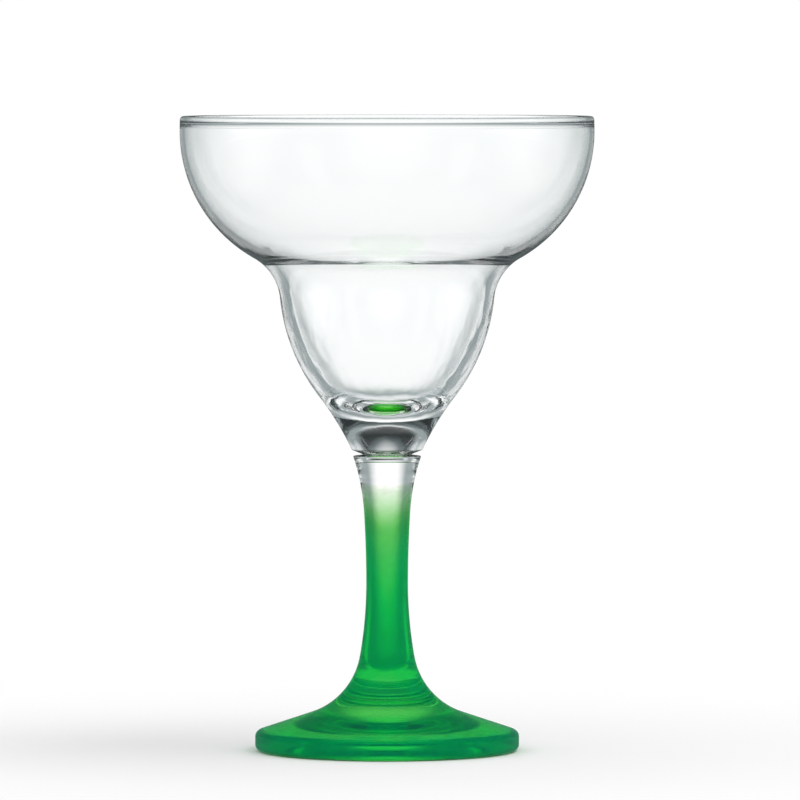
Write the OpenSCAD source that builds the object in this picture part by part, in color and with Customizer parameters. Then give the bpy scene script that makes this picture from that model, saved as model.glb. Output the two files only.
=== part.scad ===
// Margarita glass: a clear stepped bowl fused to a solid stem and a round foot, with a green lacquer film below.
// Millimetres, +Z up. The origin is the centre of the foot on the surface it stands on.

/* [Foot] */
// Radius of the foot at its widest
foot_radius = 35.8; // [34.5:0.1:37]
// Round at the bottom of the foot's edge
foot_bottom_round = 1.7; // [1.2:0.1:2]
// Round at the top of the foot's edge
foot_top_round = 1.8; // [1.2:0.1:2.2]
// Slope of the foot's conical upper side above the horizontal, degrees
foot_slope = 18.7; // [17:0.1:20]
// Radius of the sweep from the cone up to the stem
foot_sweep = 20; // [19:0.25:21]
// Inner radius of the flat ring the foot stands on
ring_radius = 32.2; // [31:0.1:32.4]
// Slope of the hollow's side inside that ring above the horizontal, degrees
hollow_slope = 17; // [15:0.1:18]
// Radius of the curve from that side up to the hollow's level middle
hollow_bend = 40; // [36:1:44]
// Radius of the hollow's level middle
hollow_flat = 14; // [12:0.5:16]

/* [Stem] */
// Radius of the stem at its waist
waist_radius = 5.6; // [5:0.1:6.5]
// Height of the waist above the surface the glass stands on
waist_height = 45.6; // [44:0.1:47]
// Height of the joint between foot and stem
foot_joint_height = 25.7; // [25:0.1:26.5]
// Radius of the side curve from the waist down to that joint
lower_curve = 115; // [105:1:130]
// Radius of the slow side curve above the waist
upper_curve = 300; // [250:5:400]
// Lean of the side from upright where the slow curve ends, degrees
upper_lean = 3.7; // [3:0.1:4.5]
// Radius of the flare below the stem's top
top_flare = 58; // [50:1:65]
// Lean of the side at the stem's top edge, degrees
top_lean = 19; // [17:0.1:20]

/* [Joint of stem and bowl] */
// Radius of the fused neck at the bottom of the groove
neck_radius = 6.4; // [5.5:0.1:7.5]
// Height from the stem's top edge up to the neck
neck_rise = 0.4; // [0.2:0.1:0.8]
// Lean of the groove's upper side, degrees
groove_lean = 68; // [60:0.5:75]
// Round at the lower edge of the bowl
base_round = 0.7; // [0.4:0.1:1]

/* [Bowl outside] */
// Radius of the bowl just above its lower edge
base_radius = 9.7; // [9.3:0.1:10.3]
// Lean of the side at the bowl's base, degrees
base_lean = 25.4; // [23:0.1:27]
// Radius of the hollow sweep above the base
base_sweep = 78; // [70:1:90]
// Lean of the side where the sweep ends, degrees
sweep_lean = 37.7; // [36:0.1:39]
// Radius of the cup's rounded side
cup_side = 52; // [50:1:56]
// Lean of the side at the top of the cup, degrees
cup_top_lean = 5.6; // [4:0.1:7]
// Radius of the hollow round between cup and coupe
shoulder_round = 14; // [13:0.25:15]
// Lean of the side where the coupe begins, degrees
shoulder_lean = 60.6; // [60:0.1:61.5]
// Radius of the coupe's rounded side
coupe_side = 39.5; // [39:0.1:40.5]
// Radius of the slight tuck towards the rim
lip_curve = 90; // [80:1:110]
// Tuck of the side at the rim, degrees
lip_tuck = 2; // [1.8:0.1:3]
// Thickness of the fire-polished bead at the rim
rim_bead = 2; // [1.8:0.05:2.2]
// Radius of the fillet under the bead, on the inside
bead_fillet = 2.6; // [2:0.1:3]

/* [Bowl inside] */
// Wall thickness at the widest level
rim_wall = 1.35; // [1.2:0.05:1.6]
// Radius of the coupe's rounded inside
coupe_inside = 36.8; // [36.2:0.1:37.2]
// Lean of the coupe's inside at the ledge, degrees
ledge_lean = 67.5; // [66:0.1:69]
// Round at the edge of the ledge
ledge_round = 2.3; // [1:0.1:3.5]
// Lean of the inside where the ledge turns down into the cup, degrees
mouth_lean = 48.5; // [44:0.1:52]
// Radius of the round from the ledge into the cup
mouth_round = 16.8; // [15:0.1:18]
// Lean of the cup's inside below that round, degrees
cup_inside_lean = 8; // [7:0.1:9]
// Radius of the cup's rounded inside
cup_inside = 48.8; // [46:0.1:51]
// Lean of the inside where the rounded floor begins, degrees
floor_lean = 37.4; // [36:0.1:39]

/* [Lacquer] */
// Thickness of the lacquer film
film = 0.1; // [0.08:0.01:0.15]
// Height at which the film ends on the stem
film_top = 73; // [70:0.5:75]
// Turn of the film round the bottom of the foot's edge, degrees
film_wrap = 65; // [40:1:68]

/* [Hidden] */
$fn = 180;
// Widest gap between an arc and the straight pieces it is drawn with
arc_gap = 0.01;
// Two points nearer than this count as one
same_point = 0.001;
clear_glass = [0.86, 0.91, 0.92, 0.4];
green = [0.05, 0.6, 0.28, 0.8];

// A side is walked with z growing, and leans t degrees outwards from the z axis.
function along(t) = [sin(t), cos(t)];
function outward(t) = [cos(t), -sin(t)];
// End of an arc of radius r from point p, whose side leans a degrees at the start and b degrees at the end
function bend_end(p, r, a, b) = p + sign(b - a) * r * [cos(a) - cos(b), sin(b) - sin(a)];
// Number of straight pieces that keep that arc within arc_gap
function pieces(r, turn) = max(1, ceil(abs(turn) / (2 * acos(1 - arc_gap / r))));
// The points of that arc
function bend(p, r, a, b) =
    let (n = pieces(r, b - a))
    [for (i = [0:n]) bend_end(p, r, a, a + (b - a) * i / n)];
function reversed(points) = [for (i = [len(points) - 1:-1:0]) points[i]];
// A side that runs down is walked upside down, then turned over.
function turned_over(points) = [for (q = points) [q[0], -q[1]]];
function distinct(points) =
    [for (i = [0:len(points) - 1]) if (i == 0 || norm(points[i] - points[max(i - 1, 0)]) > same_point) points[i]];

// Foot and stem below the waist, at a distance g outside the glass, upside down
joint_lean = asin((waist_height - foot_joint_height) / lower_curve);
cone_lean = 90 - foot_slope;
function waist_low(g) = [waist_radius + g, -waist_height];
function joint_low(g) = bend_end(waist_low(g), lower_curve - g, 0, joint_lean);
cone_top = bend_end(joint_low(0), foot_sweep, joint_lean, cone_lean);
cone_reach = foot_radius - foot_top_round * (1 - cos(cone_lean)) - cone_top[0];
cone_bottom = cone_top + along(cone_lean) * cone_reach / sin(cone_lean);

// The same sides turned the right way up, from the top down
function stem_low_side(g) = turned_over(bend(waist_low(g), lower_curve - g, 0, joint_lean));
function foot_side(g) = turned_over(concat(
    bend(joint_low(g), foot_sweep - g, joint_lean, cone_lean),
    bend(cone_bottom + g * outward(cone_lean), foot_top_round + g, cone_lean, 0)));

// Stem above the waist, from the bottom up, ending where its side has the stated lean
function slow_end(g) = bend_end([waist_radius + g, waist_height], upper_curve - g, 0, upper_lean);
function stem_high_side(g, end_lean) = concat(
    bend([waist_radius + g, waist_height], upper_curve - g, 0, upper_lean),
    bend(slow_end(g), top_flare - g, upper_lean, end_lean));
stem_top = bend_end(slow_end(0), top_flare, upper_lean, top_lean);

// Hollow under the foot, from its level middle out to the ring
hollow_edge = hollow_flat + hollow_bend * sin(hollow_slope);
hollow_height = (ring_radius - hollow_edge) * tan(hollow_slope) + hollow_bend * (1 - cos(hollow_slope));
hollow_pieces = pieces(hollow_bend, hollow_slope);
hollow_side = concat(
    [[0, hollow_height]],
    [for (i = [0:hollow_pieces])
        let (t = hollow_slope * i / hollow_pieces)
        [hollow_flat + hollow_bend * sin(t), hollow_height - hollow_bend * (1 - cos(t))]],
    [[ring_radius, 0]]);

// Lower edge of the bowl, which rounds out of the groove
neck = [neck_radius, stem_top[1] + neck_rise];
edge_rise = base_round * [cos(base_lean) - cos(groove_lean), sin(groove_lean) - sin(base_lean)];
groove_reach = base_radius - edge_rise[0] - neck_radius;
edge_start = neck + along(groove_lean) * groove_reach / sin(groove_lean);
base_start = edge_start + edge_rise;

// Outside of the bowl from the groove up to the rim
sweep_end = bend_end(base_start, base_sweep, base_lean, sweep_lean);
cup_end = bend_end(sweep_end, cup_side, sweep_lean, cup_top_lean);
shoulder_end = bend_end(cup_end, shoulder_round, cup_top_lean, shoulder_lean);
coupe_end = bend_end(shoulder_end, coupe_side, shoulder_lean, 0);
lip_end = bend_end(coupe_end, lip_curve, 0, -lip_tuck);
bowl_outside = concat(
    bend(edge_start, base_round, groove_lean, base_lean),
    bend(base_start, base_sweep, base_lean, sweep_lean),
    bend(sweep_end, cup_side, sweep_lean, cup_top_lean),
    bend(cup_end, shoulder_round, cup_top_lean, shoulder_lean),
    bend(shoulder_end, coupe_side, shoulder_lean, 0),
    bend(coupe_end, lip_curve, 0, -lip_tuck));

// Rim: a bead, and under it a fillet that meets bead and wall without a corner
lip_middle = coupe_end - [lip_curve, 0];
bead_reach = lip_curve - rim_bead / 2;
fillet_reach = lip_curve - rim_wall - bead_fillet;
bead_gap = rim_bead / 2 + bead_fillet;
fillet_drop = acos((bead_reach ^ 2 + fillet_reach ^ 2 - bead_gap ^ 2) / (2 * bead_reach * fillet_reach));
fillet_tuck = lip_tuck - fillet_drop;
bead_middle = lip_middle + bead_reach * outward(-lip_tuck);
fillet_middle = lip_middle + fillet_reach * outward(-fillet_tuck);
bead_lean = atan2(bead_middle[1] - fillet_middle[1], bead_middle[0] - fillet_middle[0]);
bead_end = bend_end(lip_end, rim_bead / 2, -lip_tuck, -bead_lean - 180);
rim = concat(
    bend(lip_end, rim_bead / 2, -lip_tuck, -bead_lean - 180),
    bend(bead_end, bead_fillet, -bead_lean - 180, -fillet_tuck - 180));

// Inside of the bowl from the rim down to the middle of its floor
lip_inside = reversed(bend(coupe_end - [rim_wall, 0], lip_curve - rim_wall, 0, -fillet_tuck));
wide_low = [coupe_end[0] - rim_wall, -coupe_end[1]];
ledge_top = bend_end(wide_low, coupe_inside, 0, -ledge_lean);
ledge_edge = bend_end(ledge_top, ledge_round, -ledge_lean, -mouth_lean);
cup_mouth = bend_end(ledge_edge, mouth_round, -mouth_lean, -cup_inside_lean);
floor_start = bend_end(cup_mouth, cup_inside, -cup_inside_lean, -floor_lean);
floor_radius = floor_start[0] / cos(floor_lean);
bowl_inside = turned_over(concat(
    bend(wide_low, coupe_inside, 0, -ledge_lean),
    bend(ledge_top, ledge_round, -ledge_lean, -mouth_lean),
    bend(ledge_edge, mouth_round, -mouth_lean, -cup_inside_lean),
    bend(cup_mouth, cup_inside, -cup_inside_lean, -floor_lean),
    bend(floor_start, floor_radius, -floor_lean, -90)));

// Side covered by the lacquer, from the top down and round the bottom of the foot's edge
film_lean = asin(sin(upper_lean) + (film_top - slow_end(0)[1]) / top_flare);
edge_middle = [foot_radius - foot_bottom_round, foot_bottom_round];
function wrapped_edge(g) =
    let (r = foot_bottom_round + g)
    reversed(bend(edge_middle + r * outward(film_wrap), r, film_wrap, 0));
function coated_side(g) = concat(
    reversed(stem_high_side(g, film_lean)),
    stem_low_side(g),
    foot_side(g),
    wrapped_edge(g));

module turned(points) {
    rotate_extrude() polygon(distinct(points));
}

// Clear bowl: coupe, ledge, cup and the solid base under it
module bowl() {
    color(clear_glass)
    turned(concat([[0, neck[1]], neck], bowl_outside, rim, lip_inside, bowl_inside));
}

// Solid stem, waisted, with a flared top that ends in a crisp edge
module stem() {
    color(clear_glass)
    turned(concat(
        [[0, foot_joint_height]],
        reversed(stem_low_side(0)),
        stem_high_side(0, top_lean),
        [neck, [0, neck[1]]]));
}

// Foot: flat standing ring, hollow underside, rounded edge, cone and the sweep up to the stem
module foot() {
    color(clear_glass)
    turned(concat(
        hollow_side,
        bend([foot_radius - foot_bottom_round, 0], foot_bottom_round, 90, film_wrap),
        reversed(wrapped_edge(0)),
        reversed(foot_side(0)),
        [[0, foot_joint_height]]));
}

// Lacquer film on the stem and on the foot's upper side and edge, clear of the surface the glass stands on
module green_lacquer() {
    color(green)
    turned(concat(coated_side(0), reversed(coated_side(film))));
}

bowl();
stem();
foot();
green_lacquer();
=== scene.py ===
from math import acos, asin, atan2, ceil, cos, degrees, hypot, pi, radians, sin, tan

import bpy
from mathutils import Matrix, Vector


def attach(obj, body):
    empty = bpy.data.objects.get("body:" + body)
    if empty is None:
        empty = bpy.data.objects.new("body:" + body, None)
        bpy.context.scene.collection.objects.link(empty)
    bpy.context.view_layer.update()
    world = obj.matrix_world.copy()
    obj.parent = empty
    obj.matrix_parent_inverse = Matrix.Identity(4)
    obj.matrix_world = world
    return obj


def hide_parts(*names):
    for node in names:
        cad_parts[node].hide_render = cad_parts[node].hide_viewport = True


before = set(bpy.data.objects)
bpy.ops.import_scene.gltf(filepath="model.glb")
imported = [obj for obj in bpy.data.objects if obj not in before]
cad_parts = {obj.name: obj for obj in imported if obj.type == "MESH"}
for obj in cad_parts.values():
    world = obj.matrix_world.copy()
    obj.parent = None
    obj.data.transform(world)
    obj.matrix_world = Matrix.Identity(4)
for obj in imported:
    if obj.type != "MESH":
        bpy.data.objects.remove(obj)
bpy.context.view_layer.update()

# Bowl: one piece of clear soda-lime glass, pressed in a mould; fire-polishing leaves a bead round the rim.
# A wide coupe steps in over a sloping ledge to a thick-walled cup, with a solid base under it.
# The base is rounded at its lower edge, and a groove runs in under it to the fused neck.
MM = 0.001
ARC_STEP = 0.8  # longest straight piece along a curved side, in millimetres
ARC_TURN = radians(5)  # most that a curved side turns from one straight piece to the next
AROUND = 180  # straight pieces round the axis
CRISP = radians(20)  # two sides that meet at more than this keep a crisp edge
SAME_POINT, ON_AXIS = 1e-4, 1e-6  # millimetres that count as none, along a side and from the axis


def along(point, lean, length):
    """The point a length further on a straight side that leans outwards from the axis, in degrees."""
    return (point[0] + length * sin(radians(lean)), point[1] + length * cos(radians(lean)))


def bend(point, radius, lean, end_lean):
    """Points of an arc in a side that starts at one lean and ends at another, with the height growing."""
    turn = radians(end_lean - lean)
    pieces = max(ceil(abs(turn) / ARC_TURN), ceil(radius * abs(turn) / ARC_STEP))
    hand = 1 if turn > 0 else -1
    a = radians(lean)
    leans = [a + turn * i / pieces for i in range(pieces + 1)]
    return [
        (point[0] + hand * radius * (cos(a) - cos(t)), point[1] + hand * radius * (sin(t) - sin(a)))
        for t in leans
    ]


def turned_over(points):
    """A side that runs down is worked out upside down and then turned over."""
    return [(r, -z) for r, z in points]


def side(*runs):
    """Joins runs of points into one outline, leaving out points that repeat."""
    joined = []
    for run in runs:
        for p in run:
            if not joined or hypot(p[0] - joined[-1][0], p[1] - joined[-1][1]) > SAME_POINT:
                joined.append(p)
    return joined


def turned(name, *outlines):
    """Solids of revolution from outlines in millimetres, walked with the solid on the left.

    An outline that starts on the axis also ends there. One that starts off the axis is a closed ring.
    """
    verts, faces, crisp = [], [], {}
    for part, outline in enumerate(outlines):
        rings = []
        for r, z in outline:
            if r < ON_AXIS:
                rings.append([len(verts)] * AROUND)
                verts.append((0, 0, z * MM))
                continue
            rings.append(list(range(len(verts), len(verts) + AROUND)))
            for j in range(AROUND):
                a = 2 * pi * j / AROUND
                verts.append((r * cos(a) * MM, r * sin(a) * MM, z * MM))
        count = len(outline)
        closed = outline[0][0] > ON_AXIS
        for i in range(count if closed else count - 1):
            k = (i + 1) % count
            for j in range(AROUND):
                n = (j + 1) % AROUND
                quad = [rings[i][j], rings[i][n], rings[k][n], rings[k][j]]
                faces.append(list(dict.fromkeys(quad)))
        for i in range(0 if closed else 1, count if closed else count - 1):
            (r0, z0), (r1, z1), (r2, z2) = outline[i - 1], outline[i], outline[(i + 1) % count]
            turn = atan2(z2 - z1, r2 - r1) - atan2(z1 - z0, r1 - r0)
            turn = (turn + pi) % (2 * pi) - pi
            if abs(turn) > CRISP and r1 > ON_AXIS:
                crisp.update({v: (part, i) for v in rings[i]})
    mesh = bpy.data.meshes.new(name)
    mesh.from_pydata(verts, [], faces)
    mesh.shade_smooth()
    for edge in mesh.edges:
        a, b = edge.vertices
        if a in crisp and crisp.get(b) == crisp[a]:
            edge.use_edge_sharp = True
    piece = bpy.data.objects.new(name, mesh)
    bpy.context.scene.collection.objects.link(piece)
    return piece


neck = (6.4, 80.5)
groove_lean, base_round, base_radius, base_lean = 68, 0.7, 9.7, 25.4
base_curve, sweep_lean = 78, 37.7
cup_curve, cup_top_lean = 52, 5.6
shoulder_round, shoulder_lean, coupe_curve = 14, 60.6, 39.5
edge_out = base_round * (cos(radians(base_lean)) - cos(radians(groove_lean)))
groove_reach = base_radius - edge_out - neck[0]
edge_start = along(neck, groove_lean, groove_reach / sin(radians(groove_lean)))
base_edge = bend(edge_start, base_round, groove_lean, base_lean)
base_sweep = bend(base_edge[-1], base_curve, base_lean, sweep_lean)
cup_side = bend(base_sweep[-1], cup_curve, sweep_lean, cup_top_lean)
shoulder = bend(cup_side[-1], shoulder_round, cup_top_lean, shoulder_lean)
coupe_side = bend(shoulder[-1], coupe_curve, shoulder_lean, 0)
lip_curve, lip_tuck, rim_wall, rim_bead, bead_fillet = 90, 2, 1.35, 2, 2.6
lip = bend(coupe_side[-1], lip_curve, 0, -lip_tuck)

# The bead and the fillet under it meet each other and the wall without a corner.
bead_reach, fillet_reach = lip_curve - rim_bead / 2, lip_curve - rim_wall - bead_fillet
bead_gap = rim_bead / 2 + bead_fillet
fillet_drop = acos((bead_reach ** 2 + fillet_reach ** 2 - bead_gap ** 2) / (2 * bead_reach * fillet_reach))
fillet_tuck = lip_tuck - degrees(fillet_drop)
bead_lean = degrees(atan2(
    bead_reach * sin(radians(lip_tuck)) - fillet_reach * sin(radians(fillet_tuck)),
    bead_reach * cos(radians(lip_tuck)) - fillet_reach * cos(radians(fillet_tuck))))
bead = bend(lip[-1], rim_bead / 2, -lip_tuck, -bead_lean - 180)
fillet = bend(bead[-1], bead_fillet, -bead_lean - 180, -fillet_tuck - 180)

widest = (coupe_side[-1][0] - rim_wall, coupe_side[-1][1])
lip_inside = bend(widest, lip_curve - rim_wall, 0, -fillet_tuck)[::-1]
ledge_lean, mouth_lean, cup_lean, floor_lean = -67.5, -48.5, -8, -37.4
coupe_hollow, ledge_round, mouth_round, cup_hollow = 36.8, 2.3, 16.8, 48.8
coupe_inside = bend((widest[0], -widest[1]), coupe_hollow, 0, ledge_lean)
ledge_edge = bend(coupe_inside[-1], ledge_round, ledge_lean, mouth_lean)
cup_mouth = bend(ledge_edge[-1], mouth_round, mouth_lean, cup_lean)
cup_inside = bend(cup_mouth[-1], cup_hollow, cup_lean, floor_lean)
cup_floor = bend(cup_inside[-1], cup_inside[-1][0] / cos(radians(floor_lean)), floor_lean, -90)
inside = turned_over(side(coupe_inside, ledge_edge, cup_mouth, cup_inside, cup_floor))
inside[-1] = (0, inside[-1][1])
GROOVE_STEPS = 8
groove_points = [along(neck, groove_lean, groove_reach * i / GROOVE_STEPS) for i in range(1, GROOVE_STEPS)]
bowl = turned("bowl", side(
    [(0, neck[1]), neck], groove_points, base_edge, base_sweep, cup_side, shoulder, coupe_side, lip, bead,
    fillet, lip_inside, inside))


def new_material(name):
    """A material with only its output node, its node tree and that node."""
    mat = bpy.data.materials.new(name)
    mat.use_nodes = True
    tree = mat.node_tree
    tree.nodes.clear()
    out = tree.nodes.new("ShaderNodeOutputMaterial")
    return mat, tree, out


# Waves per metre along X, Y and Z, and the heights in metres between which the streaks come in.
SLOW_WAVES, STREAKS, CORDS, HAZE_PATCHES = (110, 110, 110), (240, 240, 110), (60, 60, 220), (170, 170, 170)
STREAKS_NONE, STREAKS_FULL = 0.137, 0.11
HAZE_LOW, HAZE_HIGH, HAZE_MOST = 0.35, 0.75, 0.06


def glass_waves():
    """Node group: slow waves, faint cords and haze of pressed glass, and streaks from the cool mould."""
    group = bpy.data.node_groups.new("glass_waves", "ShaderNodeTree")
    for label in ("Wave height", "Streak height"):
        group.interface.new_socket(label, in_out="INPUT", socket_type="NodeSocketFloat")
    group.interface.new_socket("Normal", in_out="OUTPUT", socket_type="NodeSocketVector")
    group.interface.new_socket("Cords", in_out="OUTPUT", socket_type="NodeSocketFloat")
    group.interface.new_socket("Haze", in_out="OUTPUT", socket_type="NodeSocketFloat")
    inputs = group.nodes.new("NodeGroupInput")
    outputs = group.nodes.new("NodeGroupOutput")
    place = group.nodes.new("ShaderNodeTexCoord")
    split = group.nodes.new("ShaderNodeSeparateXYZ")
    group.links.new(place.outputs["Object"], split.inputs["Vector"])

    def noise(per_metre):
        """Smooth noise with so many waves per metre along X, Y and Z."""
        spread = group.nodes.new("ShaderNodeVectorMath")
        spread.operation = "MULTIPLY"
        spread.inputs[1].default_value = per_metre
        node = group.nodes.new("ShaderNodeTexNoise")
        node.inputs["Scale"].default_value = 1.0
        node.inputs["Detail"].default_value = 1.0
        group.links.new(place.outputs["Object"], spread.inputs[0])
        group.links.new(spread.outputs["Vector"], node.inputs["Vector"])
        return node.outputs["Fac"]

    def times(a, b):
        """The product of two sockets."""
        node = group.nodes.new("ShaderNodeMath")
        node.operation = "MULTIPLY"
        group.links.new(a, node.inputs[0])
        group.links.new(b, node.inputs[1])
        return node.outputs["Value"]

    low_in_cup = group.nodes.new("ShaderNodeMapRange")
    low_in_cup.interpolation_type = "SMOOTHSTEP"
    low_in_cup.inputs["From Min"].default_value = STREAKS_NONE
    low_in_cup.inputs["From Max"].default_value = STREAKS_FULL
    group.links.new(split.outputs["Z"], low_in_cup.inputs["Value"])
    slow = times(noise(SLOW_WAVES), inputs.outputs["Wave height"])
    steep = times(noise(STREAKS), inputs.outputs["Streak height"])
    height = group.nodes.new("ShaderNodeMath")
    height.operation = "ADD"
    bump = group.nodes.new("ShaderNodeBump")
    bump.inputs["Distance"].default_value = 1.0
    group.links.new(slow, height.inputs[0])
    group.links.new(times(steep, low_in_cup.outputs["Result"]), height.inputs[1])
    group.links.new(height.outputs["Value"], bump.inputs["Height"])
    group.links.new(bump.outputs["Normal"], outputs.inputs["Normal"])
    group.links.new(noise(CORDS), outputs.inputs["Cords"])
    haze = group.nodes.new("ShaderNodeMapRange")
    haze.inputs["From Min"].default_value = HAZE_LOW
    haze.inputs["From Max"].default_value = HAZE_HIGH
    haze.inputs["To Max"].default_value = HAZE_MOST
    group.links.new(noise(HAZE_PATCHES), haze.inputs["Value"])
    group.links.new(haze.outputs["Result"], outputs.inputs["Haze"])
    return group


waves_group = glass_waves()
GLASS_IOR = 1.52
CLEAR_TINT, CORD_TINT = (0.992, 0.997, 0.996), (0.978, 0.991, 0.99)
WAVE_HEIGHT, STREAK_HEIGHT = 0.000015, 0.00009  # in metres


def add_group(tree, group):
    """A node that shows a node group."""
    node = tree.nodes.new("ShaderNodeGroup")
    node.node_tree = group
    return node


def blend_colours(tree, factor, a, b):
    """A Mix node between two colours, each a colour or a socket."""
    node = tree.nodes.new("ShaderNodeMix")
    node.data_type = "RGBA"
    tree.links.new(factor, node.inputs["Factor"])
    for label, colour in (("A", a), ("B", b)):
        socket = next(s for s in node.inputs if s.name == label and s.type == "RGBA")
        if isinstance(colour, tuple):
            socket.default_value = (*colour, 1)
        else:
            tree.links.new(colour, socket)
    return next(s for s in node.outputs if s.type == "RGBA")


def glass(name, wave_height, streak_height):
    """Clear glass with waves and streaks of the stated heights in metres."""
    mat, tree, out = new_material(name)
    shader = tree.nodes.new("ShaderNodeBsdfPrincipled")
    shader.inputs["IOR"].default_value = GLASS_IOR
    shader.inputs["Transmission Weight"].default_value = 1.0
    waves = add_group(tree, waves_group)
    waves.inputs["Wave height"].default_value = wave_height
    waves.inputs["Streak height"].default_value = streak_height
    tint = blend_colours(tree, waves.outputs["Cords"], CLEAR_TINT, CORD_TINT)
    tree.links.new(tint, shader.inputs["Base Color"])
    tree.links.new(waves.outputs["Haze"], shader.inputs["Roughness"])
    tree.links.new(waves.outputs["Normal"], shader.inputs["Normal"])
    tree.links.new(shader.outputs["BSDF"], out.inputs["Surface"])
    return mat


bowl_glass = glass("bowl_glass", WAVE_HEIGHT, STREAK_HEIGHT)

# The face where two pieces of hot glass were fused: light crosses it unbent.
fused_face, tree, out = new_material("fused_face")
through = tree.nodes.new("ShaderNodeBsdfTransparent")
tree.links.new(through.outputs["BSDF"], out.inputs["Surface"])


LEVEL, AT_HEIGHT = 1e-4, 1e-6  # how far a face's normal may be from upright, and its middle from a height


def fuse(piece, heights, slot):
    """Gives the level faces at the stated heights, where a piece is fused to the next, their own slot."""
    for face in piece.data.polygons:
        is_level = abs(abs(face.normal.z) - 1) < LEVEL
        if is_level and any(abs(face.center.z - h * MM) < AT_HEIGHT for h in heights):
            face.material_index = slot


bowl.data.materials.append(bowl_glass)
bowl.data.materials.append(fused_face)
fuse(bowl, [neck[1]], 1)
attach(bowl, "root")
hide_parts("bowl")

# Stem: solid clear glass, drawn to a waist, with a flared top that ends in a crisp edge.
# Its top is fused to the bowl at the neck and its bottom to the foot; most of it is lacquered.
waist_radius, waist_height = 5.6, 45.6
foot_joint_height, lower_curve = 25.7, 115
upper_curve, upper_lean = 300, 3.7
top_flare, top_lean, top_bevel = 58, 19, 0.22
film_top = 73
joint_lean = degrees(asin((waist_height - foot_joint_height) / lower_curve))
stem_low = turned_over(bend((waist_radius, -waist_height), lower_curve, 0, joint_lean))
stem_slow = bend((waist_radius, waist_height), upper_curve, 0, upper_lean)
slow_end = stem_slow[-1]
film_lean = degrees(asin(sin(radians(upper_lean)) + (film_top - slow_end[1]) / top_flare))
stem_coated_flare = bend(slow_end, top_flare, upper_lean, film_lean)
stem_corner = bend(slow_end, top_flare, upper_lean, top_lean)[-1]
top_face_lean = degrees(atan2(neck[0] - stem_corner[0], neck[1] - stem_corner[1]))
bevel_run = top_bevel * tan(radians(top_lean - top_face_lean) / 2)
bevel_lean = top_lean - degrees(bevel_run / top_flare)
stem_clear_flare = bend(stem_coated_flare[-1], top_flare, film_lean, bevel_lean)
stem_edge = bend(stem_clear_flare[-1], top_bevel, bevel_lean, top_face_lean)
stem = turned("stem", side(
    [(0, foot_joint_height)], stem_low[::-1], stem_slow, stem_coated_flare, stem_clear_flare, stem_edge,
    [neck, (0, neck[1])]))


def bond(piece, slot, inside_of):
    """Gives the faces that the lacquer wets their own slot."""
    for face in piece.data.polygons:
        if face.material_index == 0 and inside_of(face):
            face.material_index = slot


clear_glass = glass("clear_glass", WAVE_HEIGHT, 0.0)
stem.data.materials.append(clear_glass)
stem.data.materials.append(fused_face)
fuse(stem, [foot_joint_height, neck[1]], 1)
bond(stem, 1, lambda face: face.center.z < film_top * MM)
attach(stem, "root")
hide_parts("stem")

# Foot: a pressed disc of clear glass with a conical upper side that sweeps up to the stem.
# It stands on a narrow flat ring round a dished hollow; its top was fused to the stem while hot.
foot_radius, foot_bottom_round, foot_top_round = 35.8, 1.7, 1.8
foot_slope, foot_sweep = 18.7, 20
cone_lean = 90 - foot_slope
ring_radius, hollow_slope, hollow_bend, hollow_flat = 32.2, 17, 40, 14
joint_low = (stem_low[-1][0], -stem_low[-1][1])
sweep_low = bend(joint_low, foot_sweep, joint_lean, cone_lean)
cone_reach = foot_radius - foot_top_round * (1 - cos(radians(cone_lean))) - sweep_low[-1][0]
cone_length = cone_reach / sin(radians(cone_lean))
CONE_STEPS = 12
cone_low = [along(sweep_low[-1], cone_lean, cone_length * i / CONE_STEPS) for i in range(1, CONE_STEPS + 1)]
edge_low = bend(cone_low[-1], foot_top_round, cone_lean, 0)
foot_upper = turned_over(side(sweep_low, cone_low, edge_low))
hollow_edge = hollow_flat + hollow_bend * sin(radians(hollow_slope))
hollow_side = (ring_radius - hollow_edge) * tan(radians(hollow_slope))
hollow_height = hollow_side + hollow_bend * (1 - cos(radians(hollow_slope)))
HOLLOW_STEPS = 14
hollow = [(hollow_flat * i / HOLLOW_STEPS, hollow_height) for i in range(HOLLOW_STEPS + 1)]
for i in range(1, HOLLOW_STEPS + 1):
    t = radians(hollow_slope) * i / HOLLOW_STEPS
    hollow.append((hollow_flat + hollow_bend * sin(t), hollow_height - hollow_bend * (1 - cos(t))))
for i in range(1, HOLLOW_STEPS + 1):
    part = i / HOLLOW_STEPS
    hollow.append((hollow_edge + (ring_radius - hollow_edge) * part, hollow_side * (1 - part)))
film_wrap = 65
edge_under = bend((foot_radius - foot_bottom_round, 0), foot_bottom_round, 90, film_wrap)
edge_wrapped = bend(edge_under[-1], foot_bottom_round, film_wrap, 0)
foot = turned("foot", side(hollow, edge_under, edge_wrapped, foot_upper[::-1], [(0, foot_joint_height)]))
UPWARD = 0.05  # faces whose normals rise more than this belong to the upper side


def under_film(face):
    """True on the foot's upper side and on its edge above the film's lower end."""
    on_edge = face.center.z > edge_under[-1][1] * MM and hypot(*face.center.xy) > ring_radius * MM
    return on_edge or face.normal.z > UPWARD


foot.data.materials.append(clear_glass)
foot.data.materials.append(fused_face)
fuse(foot, [foot_joint_height], 1)
bond(foot, 1, under_film)
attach(foot, "root")
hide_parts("foot")

# Green lacquer: a translucent film sprayed over the foot's edge and upper side and up the stem.
# A clear green body lies on the glass under a thin veil of pigment. It thins out below the stem's top,
# so that the green goes from emerald through lime into the clear glass.
film, film_fade, film_contact, veil_depth = 0.1, 58, 0.01, 0.02
coated = side(stem_coated_flare[::-1], stem_slow[::-1], stem_low, foot_upper, edge_wrapped[::-1])


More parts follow.
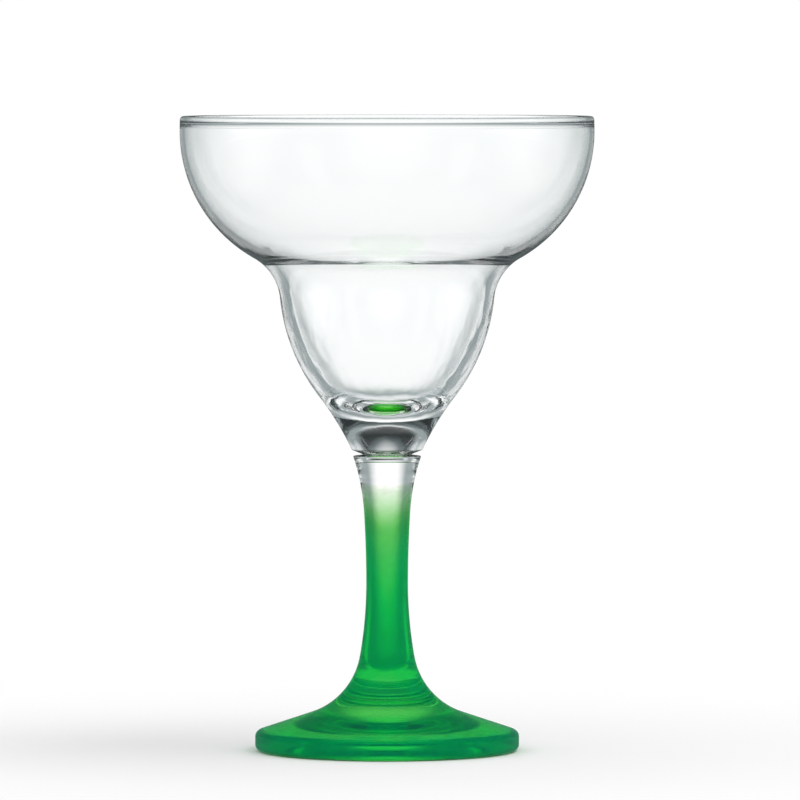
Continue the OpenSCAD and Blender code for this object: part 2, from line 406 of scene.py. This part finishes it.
def film_skin(points, depth):
    """The coated side moved out by a depth that depends on the height."""
    moved = []
    for i, (r, z) in enumerate(points):
        (r0, z0), (r1, z1) = points[max(i - 1, 0)], points[min(i + 1, len(points) - 1)]
        run = hypot(r1 - r0, z1 - z0)
        d = depth(z)
        moved.append((r + d * (z0 - z1) / run, z + d * (r1 - r0) / run))
    return moved


def film_depth(z):
    """Thickness of the body at a height: whole on the foot and the stem's waist, thin where it fades."""
    fade = min(1, max(0, (film_top - z) / (film_top - film_fade)))
    return 2 * film_contact + (film - 2 * veil_depth - 2 * film_contact) * fade


outer_skin = film_skin(coated, film_depth)
contact_skin = film_skin(coated, lambda z: film_contact)
veil_outside = film_skin(coated, lambda z: film_depth(z) + 2 * veil_depth)
veil_inside = film_skin(coated, lambda z: film_depth(z) + veil_depth)
lacquer = turned("green_lacquer", outer_skin[::-1] + contact_skin, veil_outside[::-1] + veil_inside)


# Heights in metres at which each coat starts and is whole, thins out on the foot and gathers at its edge.
FADE_TOP, FIRST_WHOLE, SECOND_WHOLE = 0.0735, 0.0585, 0.038
FOOT_START, FOOT_THIN, FOOT_SHARE = 0.024, 0.014, 0.42
EDGE_START, EDGE_WHOLE = 0.007, 0.005
DRIFT_SCALE, DRIFT, SPECKLE_SCALE, SPECKLE = 140, 0.0009, 2600, 0.0007
MOTTLE_SCALE, MOTTLE = 420, 0.12
NOISE_LOW, NOISE_HIGH = 0.3, 0.7  # the part of a noise's values that is spread out


def sprayed_fade():
    """Node group: how much lacquer lies at a place, from none to two coats, with the spray's drift."""
    group = bpy.data.node_groups.new("sprayed_fade", "ShaderNodeTree")
    for label in ("Coats", "Mottle"):
        group.interface.new_socket(label, in_out="OUTPUT", socket_type="NodeSocketFloat")
    outputs = group.nodes.new("NodeGroupOutput")
    place = group.nodes.new("ShaderNodeTexCoord")
    split = group.nodes.new("ShaderNodeSeparateXYZ")
    group.links.new(place.outputs["Object"], split.inputs["Vector"])

    def noise(scale, detail):
        """Smooth noise in the piece's own coordinates."""
        node = group.nodes.new("ShaderNodeTexNoise")
        node.inputs["Scale"].default_value = scale
        node.inputs["Detail"].default_value = detail
        group.links.new(place.outputs["Object"], node.inputs["Vector"])
        return node.outputs["Fac"]

    def spread(value, low, high, start, end):
        """A socket's value, from start at low to end at high."""
        node = group.nodes.new("ShaderNodeMapRange")
        for label, number in (("From Min", low), ("From Max", high), ("To Min", start), ("To Max", end)):
            node.inputs[label].default_value = number
        group.links.new(value, node.inputs["Value"])
        return node.outputs["Result"]

    def combine(operation, a, b):
        """A Math node from two sockets."""
        node = group.nodes.new("ShaderNodeMath")
        node.operation = operation
        group.links.new(a, node.inputs[0])
        group.links.new(b, node.inputs[1])
        return node.outputs["Value"]

    slow_drift = spread(noise(DRIFT_SCALE, 2), NOISE_LOW, NOISE_HIGH, -DRIFT, DRIFT)
    speckle = spread(noise(SPECKLE_SCALE, 1), NOISE_LOW, NOISE_HIGH, -SPECKLE, SPECKLE)
    height = combine("ADD", split.outputs["Z"], combine("ADD", slow_drift, speckle))
    first_coat = spread(height, FADE_TOP, FIRST_WHOLE, 0, 1)
    second_coat = spread(height, FIRST_WHOLE, SECOND_WHOLE, 0, 1)
    thin_on_foot = spread(height, FOOT_START, FOOT_THIN, 1, FOOT_SHARE)
    thick_at_edge = spread(height, EDGE_START, EDGE_WHOLE, 0, 1)
    share = combine("MAXIMUM", thin_on_foot, thick_at_edge)
    coats = combine("MULTIPLY", combine("ADD", first_coat, second_coat), share)
    group.links.new(coats, outputs.inputs["Coats"])
    mottle = spread(noise(MOTTLE_SCALE, 3), NOISE_LOW, NOISE_HIGH, 1 - MOTTLE, 1 + MOTTLE)
    group.links.new(mottle, outputs.inputs["Mottle"])
    return group


DIMPLE_SCALE, DIMPLE_DEPTH = 620, 0.000006  # dimples per metre, and their depth in metres


def orange_peel():
    """Node group: the fine dimples and faint haze that a sprayed film dries with."""
    group = bpy.data.node_groups.new("orange_peel", "ShaderNodeTree")
    group.interface.new_socket("Normal", in_out="OUTPUT", socket_type="NodeSocketVector")
    group.interface.new_socket("Roughness", in_out="OUTPUT", socket_type="NodeSocketFloat")
    outputs = group.nodes.new("NodeGroupOutput")
    place = group.nodes.new("ShaderNodeTexCoord")
    dimples = group.nodes.new("ShaderNodeTexNoise")
    dimples.inputs["Scale"].default_value = DIMPLE_SCALE
    dimples.inputs["Detail"].default_value = 1
    bump = group.nodes.new("ShaderNodeBump")
    bump.inputs["Distance"].default_value = DIMPLE_DEPTH
    haze = group.nodes.new("ShaderNodeMapRange")
    haze.inputs["From Min"].default_value = HAZE_LOW
    haze.inputs["From Max"].default_value = HAZE_HIGH
    haze.inputs["To Max"].default_value = HAZE_MOST
    group.links.new(place.outputs["Object"], dimples.inputs["Vector"])
    group.links.new(dimples.outputs["Fac"], bump.inputs["Height"])
    group.links.new(dimples.outputs["Fac"], haze.inputs["Value"])
    group.links.new(bump.outputs["Normal"], outputs.inputs["Normal"])
    group.links.new(haze.outputs["Result"], outputs.inputs["Roughness"])
    return group


fade_group, peel_group = sprayed_fade(), orange_peel()
SLANT = 2.0  # how much more the film counts where light crosses it at a slant


def lacquer_body(name, ior, lime, emerald):
    """See-through lacquer: clear where the spray ends, lime where it is thin, emerald where it is whole."""
    mat, tree, out = new_material(name)
    shader = tree.nodes.new("ShaderNodeBsdfPrincipled")
    shader.inputs["IOR"].default_value = ior
    shader.inputs["Roughness"].default_value = 0.0
    shader.inputs["Transmission Weight"].default_value = 1.0
    fade = add_group(tree, fade_group)
    slant = tree.nodes.new("ShaderNodeLayerWeight")
    longer = tree.nodes.new("ShaderNodeMath")
    longer.operation = "MULTIPLY_ADD"
    longer.inputs[1].default_value = SLANT
    longer.inputs[2].default_value = 1.0
    crossed = tree.nodes.new("ShaderNodeMath")
    crossed.operation = "MULTIPLY"
    second = tree.nodes.new("ShaderNodeMath")
    second.operation = "SUBTRACT"
    second.inputs[1].default_value = 1.0
    tree.links.new(slant.outputs["Facing"], longer.inputs[0])
    tree.links.new(fade.outputs["Coats"], crossed.inputs[0])
    tree.links.new(longer.outputs["Value"], crossed.inputs[1])
    tree.links.new(crossed.outputs["Value"], second.inputs[0])
    thin = blend_colours(tree, crossed.outputs["Value"], (1.0, 1.0, 1.0), lime)
    whole = blend_colours(tree, second.outputs["Value"], thin, emerald)
    tree.links.new(whole, shader.inputs["Base Color"])
    tree.links.new(shader.outputs["BSDF"], out.inputs["Surface"])
    return mat, tree, shader


GLOSS_LIME, GLOSS_EMERALD, GLOSS_MIRROR = (0.36, 0.74, 0.22), (0.04, 0.72, 0.09), (0.25, 1.0, 0.8)
CONTACT_LIME, CONTACT_EMERALD = (0.36, 0.71, 0.28), (0.18, 0.72, 0.12)
UNBENT = 1.0  # refractive index at which light keeps its direction
lacquer_gloss, tree, shader = lacquer_body("lacquer_gloss", GLASS_IOR, GLOSS_LIME, GLOSS_EMERALD)
peel = add_group(tree, peel_group)
tree.links.new(peel.outputs["Roughness"], shader.inputs["Roughness"])
tree.links.new(peel.outputs["Normal"], shader.inputs["Normal"])
shader.inputs["Specular Tint"].default_value = (*GLOSS_MIRROR, 1)
lacquer_contact = lacquer_body("lacquer_contact", UNBENT, CONTACT_LIME, CONTACT_EMERALD)[0]

PIGMENT, PIGMENT_COVER, PIGMENT_COATS, PIGMENT_MATT = (0.005, 0.8, 0.36), 0.11, 1.2, 0.6
lacquer_pigment, tree, out = new_material("lacquer_pigment")
shader = tree.nodes.new("ShaderNodeBsdfPrincipled")
shader.inputs["Base Color"].default_value = (*PIGMENT, 1)
shader.inputs["Roughness"].default_value = PIGMENT_MATT
shader.inputs["Specular IOR Level"].default_value = 0.0
fade = add_group(tree, fade_group)
veil = tree.nodes.new("ShaderNodeMapRange")
veil.inputs["From Max"].default_value = PIGMENT_COATS
veil.inputs["To Max"].default_value = PIGMENT_COVER
mottled = tree.nodes.new("ShaderNodeMath")
mottled.operation = "MULTIPLY"
tree.links.new(fade.outputs["Coats"], veil.inputs["Value"])
tree.links.new(veil.outputs["Result"], mottled.inputs[0])
tree.links.new(fade.outputs["Mottle"], mottled.inputs[1])
tree.links.new(mottled.outputs["Value"], shader.inputs["Alpha"])
tree.links.new(shader.outputs["BSDF"], out.inputs["Surface"])

for finish in (lacquer_gloss, lacquer_contact, lacquer_pigment):
    lacquer.data.materials.append(finish)
gloss_faces = (len(outer_skin) - 1) * AROUND
body_faces = 2 * len(coated) * AROUND
for index, face in enumerate(lacquer.data.polygons):
    face.material_index = 0 if index < gloss_faces else 1 if index < body_faces else 2
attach(lacquer, "root")
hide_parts("green_lacquer")

# Floor: a plain white round table top under the glass.
# It takes the soft shadow near the foot and runs into the white backdrop further out.
floor_mesh = bpy.data.meshes.new("floor")
FLOOR_RADIUS, FLOOR_SIDES, FLOOR_DROP, FLOOR_WHITE = 0.6, 96, 0.0001, 0.96
SHADOW_FULL, SHADOW_END = 0.05, 0.25  # distances from the axis between which the shadow runs into white
floor_ring = [
    (FLOOR_RADIUS * cos(2 * pi * j / FLOOR_SIDES), FLOOR_RADIUS * sin(2 * pi * j / FLOOR_SIDES), -FLOOR_DROP)
    for j in range(FLOOR_SIDES)
]
floor_mesh.from_pydata(floor_ring, [], [list(range(FLOOR_SIDES))])
floor = bpy.data.objects.new("floor", floor_mesh)
bpy.context.scene.collection.objects.link(floor)
table_white, tree, out = new_material("table_white")
diffuse = tree.nodes.new("ShaderNodeBsdfDiffuse")
diffuse.inputs["Color"].default_value = (FLOOR_WHITE, FLOOR_WHITE, FLOOR_WHITE, 1)
glow = tree.nodes.new("ShaderNodeEmission")
glow.inputs["Strength"].default_value = 1.0
place = tree.nodes.new("ShaderNodeTexCoord")
reach = tree.nodes.new("ShaderNodeVectorMath")
reach.operation = "LENGTH"
fade = tree.nodes.new("ShaderNodeMapRange")
fade.interpolation_type = "SMOOTHSTEP"
fade.inputs["From Min"].default_value = SHADOW_FULL
fade.inputs["From Max"].default_value = SHADOW_END
path = tree.nodes.new("ShaderNodeLightPath")
seen = tree.nodes.new("ShaderNodeMath")
seen.operation = "SUBTRACT"
seen.inputs[0].default_value = 1.0
mask = tree.nodes.new("ShaderNodeMath")
mask.operation = "MULTIPLY"
mix = tree.nodes.new("ShaderNodeMixShader")
tree.links.new(place.outputs["Object"], reach.inputs[0])
tree.links.new(reach.outputs["Value"], fade.inputs["Value"])
tree.links.new(path.outputs["Is Diffuse Ray"], seen.inputs[1])
tree.links.new(fade.outputs["Result"], mask.inputs[0])
tree.links.new(seen.outputs["Value"], mask.inputs[1])
tree.links.new(mask.outputs["Value"], mix.inputs["Fac"])
tree.links.new(diffuse.outputs["BSDF"], mix.inputs[1])
tree.links.new(glow.outputs["Emission"], mix.inputs[2])
tree.links.new(mix.outputs["Shader"], out.inputs["Surface"])
floor_mesh.materials.append(table_white)
floor.visible_transmission = False
floor.visible_glossy = False

# Studio: a grey tent whose walls darken upwards, over a table that is paler in its corners and below.
# A soft glow stands on each of four sides, and the grey round it draws the dark edges of clear glass.
world = bpy.data.worlds.new("light_tent")
bpy.context.scene.world = world
world.use_nodes = True
tree = world.node_tree
tree.nodes.clear()
out = tree.nodes.new("ShaderNodeOutputWorld")
background = tree.nodes.new("ShaderNodeBackground")
place = tree.nodes.new("ShaderNodeTexCoord")
split = tree.nodes.new("ShaderNodeSeparateXYZ")


def maths(operation, *values):
    """A Math node in the current node tree, from numbers and sockets."""
    node = tree.nodes.new("ShaderNodeMath")
    node.operation = operation
    for i, value in enumerate(values):
        if isinstance(value, (int, float)):
            node.inputs[i].default_value = value
        else:
            tree.links.new(value, node.inputs[i])
    return node.outputs["Value"]


def ramp(value, low, high, start=0.0, end=1.0):
    """A smooth step of a socket's value, from start at low to end at high."""
    node = tree.nodes.new("ShaderNodeMapRange")
    node.interpolation_type = "SMOOTHSTEP"
    node.inputs["From Min"].default_value = low
    node.inputs["From Max"].default_value = high
    node.inputs["To Min"].default_value = start
    node.inputs["To Max"].default_value = end
    tree.links.new(value, node.inputs["Value"])
    return node.outputs["Result"]


WALL, CEILING, TABLE, TABLE_CORNER, TENT_AMBIENT = 0.4, 0.02, 0.35, 0.95, 0.86
MIRROR_WALL, MIRROR_CEILING, MIRROR_TABLE = 0.16, 0.04, 0.2
DARK_TINT = (0.8, 1.0, 1.02)
CORNER_START, CORNER_FULL = 0.955, 0.99  # how close to a diagonal the table's corners turn pale
UNDER_START, UNDER_FULL = -0.55, -0.8  # from here on down the table is as pale as in its corners
WALL_END, CEILING_START, MIRROR_CEILING_START, TABLE_START = 0.45, 0.85, 0.5, -0.25
tree.links.new(place.outputs["Generated"], split.inputs["Vector"])
x, y, rise = split.outputs["X"], split.outputs["Y"], split.outputs["Z"]
level = maths("MAXIMUM", maths("ADD", maths("MULTIPLY", x, x), maths("MULTIPLY", y, y)), 1e-4)
cornerwise = maths("DIVIDE", maths("ABSOLUTE", maths("MULTIPLY", maths("MULTIPLY", x, y), 2.0)), level)
paler = maths("MAXIMUM", ramp(cornerwise, CORNER_START, CORNER_FULL), ramp(rise, UNDER_START, UNDER_FULL))
table = maths("ADD", TABLE, maths("MULTIPLY", paler, TABLE_CORNER - TABLE))
walls = ramp(rise, WALL_END, CEILING_START, WALL, CEILING)
tent = maths("ADD", walls, maths("MULTIPLY", ramp(rise, 0.0, TABLE_START), maths("SUBTRACT", table, WALL)))
path = tree.nodes.new("ShaderNodeLightPath")
refracted = path.outputs["Is Transmission Ray"]
mirrored = maths("MULTIPLY", path.outputs["Is Glossy Ray"], maths("SUBTRACT", 1.0, refracted))
mirror = maths(
    "MAXIMUM", ramp(rise, 0.0, MIRROR_CEILING_START, MIRROR_WALL, MIRROR_CEILING),
    ramp(rise, 0.0, TABLE_START, 0.0, MIRROR_TABLE))
in_glass = maths("ADD", maths("MULTIPLY", tent, refracted), maths("MULTIPLY", mirror, mirrored))
by_glass = maths("ADD", refracted, mirrored)
other = maths("ADD", in_glass, maths("MULTIPLY", maths("SUBTRACT", 1.0, by_glass), TENT_AMBIENT))
shown = maths("ADD", other, maths("MULTIPLY", path.outputs["Is Camera Ray"], maths("SUBTRACT", 1.0, other)))
darkness = maths("MULTIPLY", by_glass, maths("SUBTRACT", 1.0, shown))
tree.links.new(blend_colours(tree, darkness, (1.0, 1.0, 1.0), DARK_TINT), background.inputs["Color"])
tree.links.new(shown, background.inputs["Strength"])
tree.links.new(background.outputs["Background"], out.inputs["Surface"])

GLOW_DISTANCE, GLOW_HEIGHT, GLOW_TALL, GLOW_LEVEL = 0.25, 0.115, 1.3, 1.12
GLOW_FULL, GLOW_END = 0.05, 0.16
glow_cloth, tree, out = new_material("glow_cloth")
place = tree.nodes.new("ShaderNodeTexCoord")
reach = tree.nodes.new("ShaderNodeVectorMath")
reach.operation = "LENGTH"
light = tree.nodes.new("ShaderNodeEmission")
light.inputs["Strength"].default_value = GLOW_LEVEL
through = tree.nodes.new("ShaderNodeBsdfTransparent")
mix = tree.nodes.new("ShaderNodeMixShader")
tree.links.new(place.outputs["Object"], reach.inputs[0])
tree.links.new(ramp(reach.outputs["Value"], GLOW_FULL, GLOW_END), mix.inputs["Fac"])
tree.links.new(light.outputs["Emission"], mix.inputs[1])
tree.links.new(through.outputs["BSDF"], mix.inputs[2])
tree.links.new(mix.outputs["Shader"], out.inputs["Surface"])
glow_mesh = bpy.data.meshes.new("glow")
glow_mesh.from_pydata(
    [(-GLOW_END, 0, -GLOW_END), (GLOW_END, 0, -GLOW_END), (GLOW_END, 0, GLOW_END), (-GLOW_END, 0, GLOW_END)],
    [], [(0, 1, 2, 3)])
glow_mesh.materials.append(glow_cloth)
for wall, turn in (("back", 0), ("left", 90), ("front", 180), ("right", 270)):
    glow = bpy.data.objects.new("glow_" + wall, glow_mesh)
    a = radians(turn)
    glow.location = (-GLOW_DISTANCE * sin(a), GLOW_DISTANCE * cos(a), GLOW_HEIGHT)
    glow.rotation_euler = (0, 0, a)
    glow.scale = (1, 1, GLOW_TALL)
    glow.visible_camera = False
    glow.visible_diffuse = False
    glow.visible_glossy = False
    glow.visible_shadow = False
    bpy.context.scene.collection.objects.link(glow)

SOFTBOX_SIZE, SOFTBOX_WATTS = 0.9, 4.2
SOFTBOX_PLACE, SOFTBOX_AIM = (0.55, -0.2, 1.35), (0, 0, 0.08)
key = bpy.data.lights.new("softbox", "AREA")
key.shape = "SQUARE"
key.size = SOFTBOX_SIZE
key.energy = SOFTBOX_WATTS
softbox = bpy.data.objects.new("softbox", key)
softbox.location = SOFTBOX_PLACE
softbox.rotation_euler = (Vector(SOFTBOX_AIM) - softbox.location).to_track_quat("-Z", "Y").to_euler()
softbox.visible_glossy = False
softbox.visible_transmission = False
bpy.context.scene.collection.objects.link(softbox)

# Camera: a long lens a little higher than the rim, aimed near the middle of the glass.
CAMERA_DISTANCE, CAMERA_HEIGHT, AIM_HEIGHT, AIM_RIGHT = 2.2, 0.19, 0.0953, 0.0035
FOCAL_LENGTH = 365  # in millimetres
lens = bpy.data.cameras.new("camera")
lens.lens = FOCAL_LENGTH
camera = bpy.data.objects.new("camera", lens)
camera.location = (AIM_RIGHT, -CAMERA_DISTANCE, CAMERA_HEIGHT)
aim = Vector((AIM_RIGHT, 0, AIM_HEIGHT)) - camera.location
camera.rotation_euler = aim.to_track_quat("-Z", "Y").to_euler()
bpy.context.scene.collection.objects.link(camera)
bpy.context.scene.camera = camera
bpy.context.scene.view_settings.view_transform = "Standard"

# Light passes many faces of glass, so its paths are followed for longer.
cycles = bpy.context.scene.cycles
cycles.max_bounces = 48
cycles.transmission_bounces = 48
cycles.glossy_bounces = 24
cycles.transparent_max_bounces = 64
